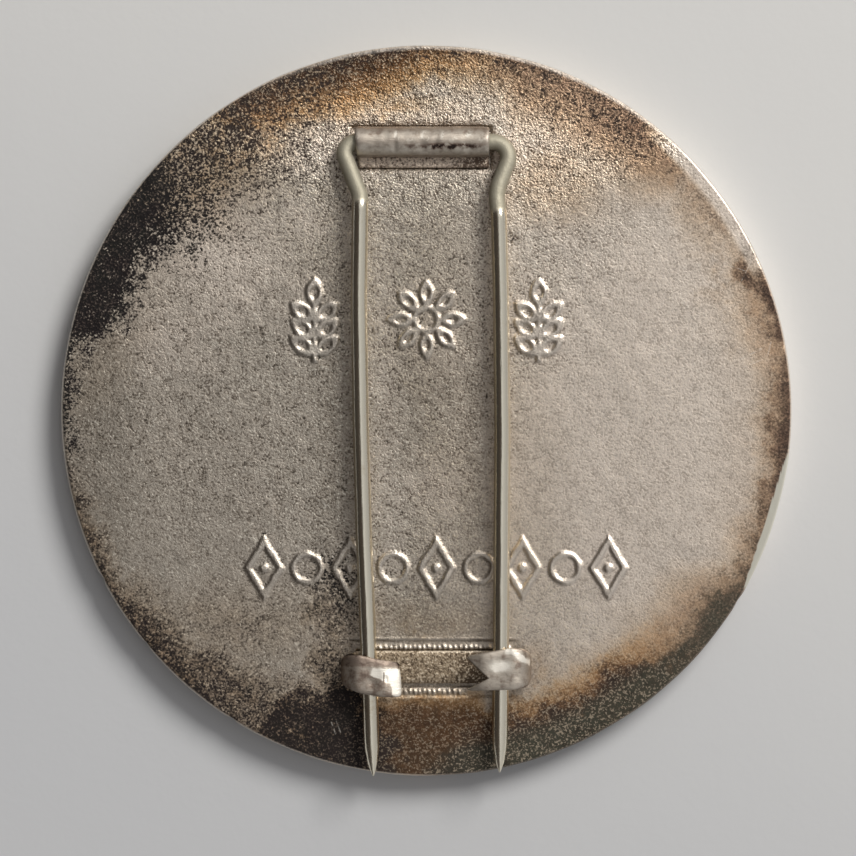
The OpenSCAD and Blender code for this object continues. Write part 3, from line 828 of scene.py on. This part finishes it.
def struckSilver():
    p, s = Paint("struckSilver"), silver
    x, y = p.parts(p.place)[:2]
    flat = p.scaled(p.place, (1, 1, 0))
    inset = disc["diameter"] / 2 - p.vector("LENGTH", flat, output="Value")
    slow, middling = p.noise(4.2, 3, 0.6) - 0.5, p.noise(1.2, 3, 0.65, shift=5) - 0.5
    fine, speck = p.noise(0.45, 2, 0.65, shift=9) - 0.5, p.noise(0.13, 2, 0.62) - 0.5
    fleck = (p.noise(0.17, 1, 0.5, shift=13) + speck * 0.5).ramp(0.6, 0.73)
    warped = inset + slow * 3 + middling * 2.2
    direction, drift = p.vector("NORMALIZE", flat), slow * 0.08
    strayed = p.vector("ADD", flat, p.node("CombineXYZ", {}, {
        0: middling * 2.5 + slow * 2.5, 1: fine * 1.2 + slow * 2.5}))
    relief, beside, struck, sunk, filed = p.marks("relief", "beside", "struck", "sunk", "filed")
    # the grain is coarse and bright at the top, and calm on the right and at the bottom, where the tarnish is
    # smoother too. The edge is rubbed at the upper right and greenish at the lower right
    coarse = rimCover(p, coarseRim, warped, direction, drift)
    calm = (x - y * 0.5 + slow * 6).ramp(2, 10) * (1 - coarse)
    calm = calm.most((x * 0.5 + y + slow * 5).ramp(-11, -17) * 0.55)
    rubbedEdge = p.facing(direction, 36.1).ramp(0.955, 0.99) * inset.ramp(1.1, 0.6)
    green = p.facing(direction, -56.15).ramp(0.75, 0.95) * inset.ramp(2.6, 1.2)

    # clean silver is bright on the right, and hazier and greyer in the middle and on the left, in soft
    # clouds, with painted shadows of the prongs to the left of each
    haze = (x + slow * 9 + middling * 4).ramp(13, -1) - patchCover(p, strayed, clearPatches)
    tone = p.mix((haze + middling * 0.25).most(0).least(1), s["clean"], s["hazy"])
    # dull patches, and the painted shadows of the prongs
    tone = p.tint(patchCover(p, strayed, dullAndShadowPatches), tone, s["dull"])
    pits = (speck * -1 + fine * -0.5).ramp(-0.04, 0.2) * (1 - filed) * (1 - calm * 0.5)
    tone = p.tint(pits * (0.7 + coarse * 0.25), tone, s["pit"])
    # bright flecks on the grain tops: grain, and partly painted glints
    tone = p.mix(fleck * (0.2 + coarse * 0.5 + haze * 0.2), tone, s["fleck"])

    # the warm film is golden at the top and the bottom, and gone from the very edge
    dark = rimCover(p, darkRim, warped + middling * 1.2, direction, drift)
    dark = dark.most(patchCover(p, strayed, darkPatches))
    warm = rimCover(p, warmRim, warped, direction, drift).most(patchCover(p, strayed, warmPatches))
    warm = warm.most(dark * calm * 0.85)
    warm = warm + (middling * 0.35 + fine * 0.3) * warm.ramp(0, 0.3)
    warm = warm * (1 - rubbedEdge) * (1 - inset.ramp(0.16, 0.04) * (1 - green) * 0.7)
    tone = p.tint(1, tone, p.graded(warm, film))
    golden = p.facing(direction, 107.72).size().ramp(0.82, 0.96)
    tone = p.tint(golden * warm.ramp(0.15, 0.5), tone, s["gold"])

    # the dark layer fills the pits of the grain first. It leaves the tops and whatever is rubbed, such as the
    # brink, which is wider at the top, where a band of painted light widens it
    brink = inset.ramp(0.15, 0.05) * (1 - green * 0.7)
    # painted light: a lit band along the top of the rim
    litTopBrink = p.facing(direction, 77.35).ramp(0.72, 0.96) * inset.ramp(0.36, 0.12)
    brink = brink.most(litTopBrink * (0.8 + fine))
    rubbed = relief.most(struck * 0.9).most(filed).most(brink)
    # painted shade: the dark layer is thicker at the foot of the raised ornaments and in the sunk pockets
    dark = dark + beside * (1 - relief) * 0.22 + sunk * 0.22 + 0.02 - calm * 0.12
    dark = dark - rubbed * 0.75 - brink * 0.35 - rubbedEdge * 0.5 - fleck * 0.3
    dark = dark - speck * (2.5 - calm * 1.1 - green * 0.4 - coarse * 0.7) - fine * (1.2 - calm * 0.6)
    dark = ((dark - 0.5) * (1 - calm * 0.55)).ramp(-0.32, 0.36)
    darkTone = p.mix(middling.ramp(-0.2, 0.25), s["blackWarm"], s["blackCool"])
    darkTone = p.mix((calm * calm).most(coarse).most(golden * 0.6) * 0.6, darkTone, s["brown"])
    darkTone = p.mix(green, darkTone, s["green"])
    grains = p.mix(green, s["grain"], s["greenGrain"])
    darkTone = p.mix(speck.ramp(0, 0.2) * 0.4 + fleck * 0.3, darkTone, grains)
    tone = p.mix(rubbed * 0.4, tone, s["rubbed"])
    tone = p.mix(dark, tone, darkTone)

    # the golden film is mottled with brown and with pale specks on the grain tops, which are partly painted
    # glints
    mottled = (fine * 1.6 + middling - speck * 1.6).ramp(0.16, -0.34) * golden * warm.ramp(0.5, 0.85)
    tone = p.mix(mottled * 0.62, tone, s["mottle"])
    tone = p.mix((fleck * 0.3).most(speck.ramp(0.02, 0.17) * 0.5) * golden, tone, s["paleSpeck"])
    tone = p.mix(brink * 0.4, tone, s["brink"])
    tone = p.mix(filed * 0.85, tone, s["filed"])
    scratch = reduce(Link.most, [scratchDepth(p, flat, *one) for one in scratches]) * fine.ramp(-0.12, 0.08)
    tone = p.mix(scratch * 0.42, tone, s["scratch"])

    rough = 0.4 + dark * 0.12 + haze * 0.04 - rubbed * 0.06 + inset.ramp(0.2, 0.05) * 0.08
    metal = 1 - (dark * 0.85).most(brink * 0.5) - filed * 0.6
    height = grain(p) * 0.045 + p.noise(0.9, 1) * 0.03
    deepest = 2.3       # a bump's strength stops at 1, so that its distance is the deepest
    deep = (1 - filed * 0.6) * (1 - relief * 0.2) * (1 + coarse * 1.3 - calm * 0.4)
    return p.finish({"Base Color": tone, "Metallic": metal, "Roughness": rough, "Specular IOR Level": 0.22,
                     "Normal": p.bump(height, deepest, deep / deepest)})


# Strips: stamped says where the ground's grain runs over them, tarnishAndLightAt how brown and how worn they
# are, and where light and shade are painted on them
def stripSilver(name, stamped, tarnishAndLightAt, groundTones):
    p = Paint(name)
    slow, fine = p.noise(1.6, 3, 0.6) - 0.5, p.noise(0.4, 3, 0.6, shift=5) - 0.5
    (x, y, z), (run, outer) = p.parts(p.place), p.marks("run", "outer")
    at = dict(x=x, y=y, z=z, run=run, outer=outer, slow=slow, fine=fine)
    speck = p.noise(0.13, 2, 0.62) - 0.5
    grainy = stamped(**at)
    # worn also carries painted highlights, and brown also carries painted shade
    brown, worn = tarnishAndLightAt(**at)
    tarnish = (brown + speck * 0.12 + fine * 0.15 - worn * 0.3).most(0).least(1)
    tone = p.graded(tarnish, [
        (0, 250, 243, 230), (0.3, 200, 190, 176), (0.6, 150, 135, 122),
        (0.85, 100, 82, 73), (1, 60, 50, 45)])
    shade = x.near(3.2, 1.8) * 0.3    # painted shadow that the notched hook casts on the ground under it
    ground = p.mix((speck * -1.6 - fine * 0.6 + shade).ramp(-0.12, 0.32), *groundTones)
    ground = p.mix(speck.ramp(0.04, 0.2) * 0.6 + worn * 0.5, ground, (255, 240, 216))
    drawn = p.scaled(p.place, (0.4, 1.6, 1.6))     # fine lines along the strip
    worked = p.noise(0.34, 4, 0.65, place=drawn) * 0.026 + p.noise(0.09, 2) * 0.005
    height = grain(p) * grainy * 0.06 + worked * (1 - grainy)
    return p.finish({"Base Color": p.mix(grainy, tone, ground), "Metallic": 0.86 - worn * 0.36,
                     "Roughness": 0.44 + tarnish * 0.1, "Normal": p.bump(height)})


# The barrel is brown above, where it is worn along a band and at five knocks, painted whiter there, which
# also stands in for their highlights. Below it is painted paler, as painted light on its shaded lower side. A
# broken dark line between is painted shade, and so is another where the roll meets the foot
def hingeTarnishAndPaintedLight(x, y, slow, fine, outer, **rest):
    # painted shade: a broken dark line where the lit upper half meets the shaded lower half
    shadeLine = (y + fine * 0.5).near(16.22, 0.22) * (x + slow * 4).near(1.2, 3.4) * 0.8
    # painted light: the shaded lower side is painted paler
    upper = 0.46 - (y + slow * 0.5 + fine * 0.5).ramp(16.5, 15.9) * 0.22
    # painted shadow along the line where the roll meets the foot
    brown = upper + y.near(15.6, 0.12) * (0.24 - fine * 1.2) + outer.ramp(0.2, -0.2) * 0.3
    brown = brown + shadeLine * fine.ramp(-0.22, 0.08) + (slow + fine * 1.5).ramp(-0.1, 0.4) * 0.14
    # the worn band and knocks are painted whiter: rubbed metal, and painted highlights
    worn = (y + slow * 0.9 + fine).near(16.72, 0.42) * (0.35 + fine.ramp(0.04, 0.12) * 0.65)
    for at, width in ((-1.94, 0.16), (-0.21, 0.24), (0.97, 0.22), (2.54, 0.3), (3.9, 0.22)):
        knock = (x + fine * 0.6).near(at, width) * (y + fine * 0.8).near(16.85, 0.34)
        worn = worn.most(knock * 1.3)
    return brown, worn


# The left hook is worn bright on top of its free end, which is also painted white as its highlight, and the
# right one has painted highlights on its face and along its upper right edge. Both are mottled pinkish grey
# round the bends and below. The left one has a crack and a band of painted shade along its top, and the strip
# between them a painted highlight along its upper edge
def catchTarnishAndPaintedLight(x, y, z, slow, fine, outer, **rest):
    under = (z + slow * 0.8).ramp(4.1, 2.4)
    mottled = (slow * 1.4 + fine * 1.6).ramp(-0.1, 0.5)
    u, v = x + slow * 0.4 + fine * 0.4, y + fine * 0.25     # the place, with a ragged border
    band = (v + u * 0.45).ramp(-17.78, -17.6) * u.ramp(-3.5, -3.2)
    low = (u + v * 0.37).ramp(-8.5, -8.32) * v.ramp(-17.6, -17.4)
    # the left hook's worn end, painted white as a highlight too
    leftFace = band.most(low) * v.ramp(-15.72, -15.88) * u.ramp(0, -1) * (0.86 + fine)
    # painted highlights on the right hook's face and along its upper right edge
    rightHookHighlight = u.near(4.5, 1.1) * (v + slow * 0.8).near(-15.62, 0.55) * (0.9 + fine * 3)
    rightHookHighlight = rightHookHighlight + (v + (u - 5.1).most(0) * 0.6).near(-14.72, 0.3) * u.ramp(4.7, 5)
    crack = x.near(-2.6, 0.06) * y.near(-16.3, 0.4).ramp(0, 0.4) * z.ramp(3.2, 3.5)
    worn = leftFace.most(rightHookHighlight.least(0.9)) * z.ramp(3.2, 3.5) * (1 - crack)
    # painted highlight along the strip's upper edge
    edge = y.near(-14.84, 0.1) * z.ramp(2.4, 2.3) * (fine + slow).ramp(-0.15, 0.1)
    # painted shade along the top band of the left hook
    upper = v.ramp(-15.75, -15.6) * u.ramp(0, -1) * 0.16
    brown = 0.36 + x.ramp(0, -1) * 0.1 + upper + under * 0.26 + mottled * 0.26 + outer.ramp(0.2, -0.2) * 0.3
    return brown * (1 - worn) + crack * 0.6, worn.most(edge)


# The wire is bright with drawn lines along it, and dull above its kinks
def nickelWire():
    p = Paint("nickelWire")
    shoulder, point = p.marks("shoulder", "point")
    drawn = p.noise(0.5, 3, 0.6, place=p.scaled(p.place, (6, 0.25, 6)))
    slow, fine = p.noise(2.2, 3, 0.6) - 0.5, p.noise(0.3, 3, 0.6, shift=4) - 0.5
    dull = (shoulder + fine * 0.5 * shoulder).least(1).most(0)
    tarnish = ((slow * 1.2 + fine * 0.6).ramp(0.05, 0.7) * 0.5 + dull * 0.25).least(1)
    tone = p.graded(tarnish, [(0, 253, 245, 224), (0.4, 222, 208, 180), (1, 150, 122, 92)])
    tone = p.mix(dull * 0.8, tone, (164, 160, 143))
    rough = 0.17 + dull * 0.44 + tarnish * 0.08 + point * 0.14
    normal = p.bump(drawn * 0.008 + p.noise(0.15, 2) * (dull * 0.014 + 0.004))
    return p.finish({"Base Color": tone, "Metallic": 1 - dull * 0.35, "Roughness": rough, "Normal": normal})


makeCamera(disc)
makeLight()
makeFloor()
print("camera, lights and paper are set")

discPiece = makeDisc()
discPiece.data.materials.append(struckSilver())
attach(discPiece, "medal")
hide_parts("medal_disc")

hingePiece = makeHinge()
hingePiece.data.materials.append(stripSilver(
    "hingeSilver", lambda run, **rest: run.ramp(0.75, 0.6), hingeTarnishAndPaintedLight,
    ((230, 212, 193), (110, 93, 80))))
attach(hingePiece, "medal")
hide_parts("hinge_plate")

catchPiece = makeCatch()
catchPiece.data.materials.append(stripSilver(
    "catchSilver", lambda z, **rest: z.ramp(2.25, 2.18), catchTarnishAndPaintedLight,
    ((170, 152, 128), (94, 79, 64))))
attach(catchPiece, "medal")
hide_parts("catch_plate")

wirePiece = makeWire()
wirePiece.data.materials.append(nickelWire())
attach(wirePiece, "pin")
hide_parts("pin_wire")

print("pieces are on their bodies")
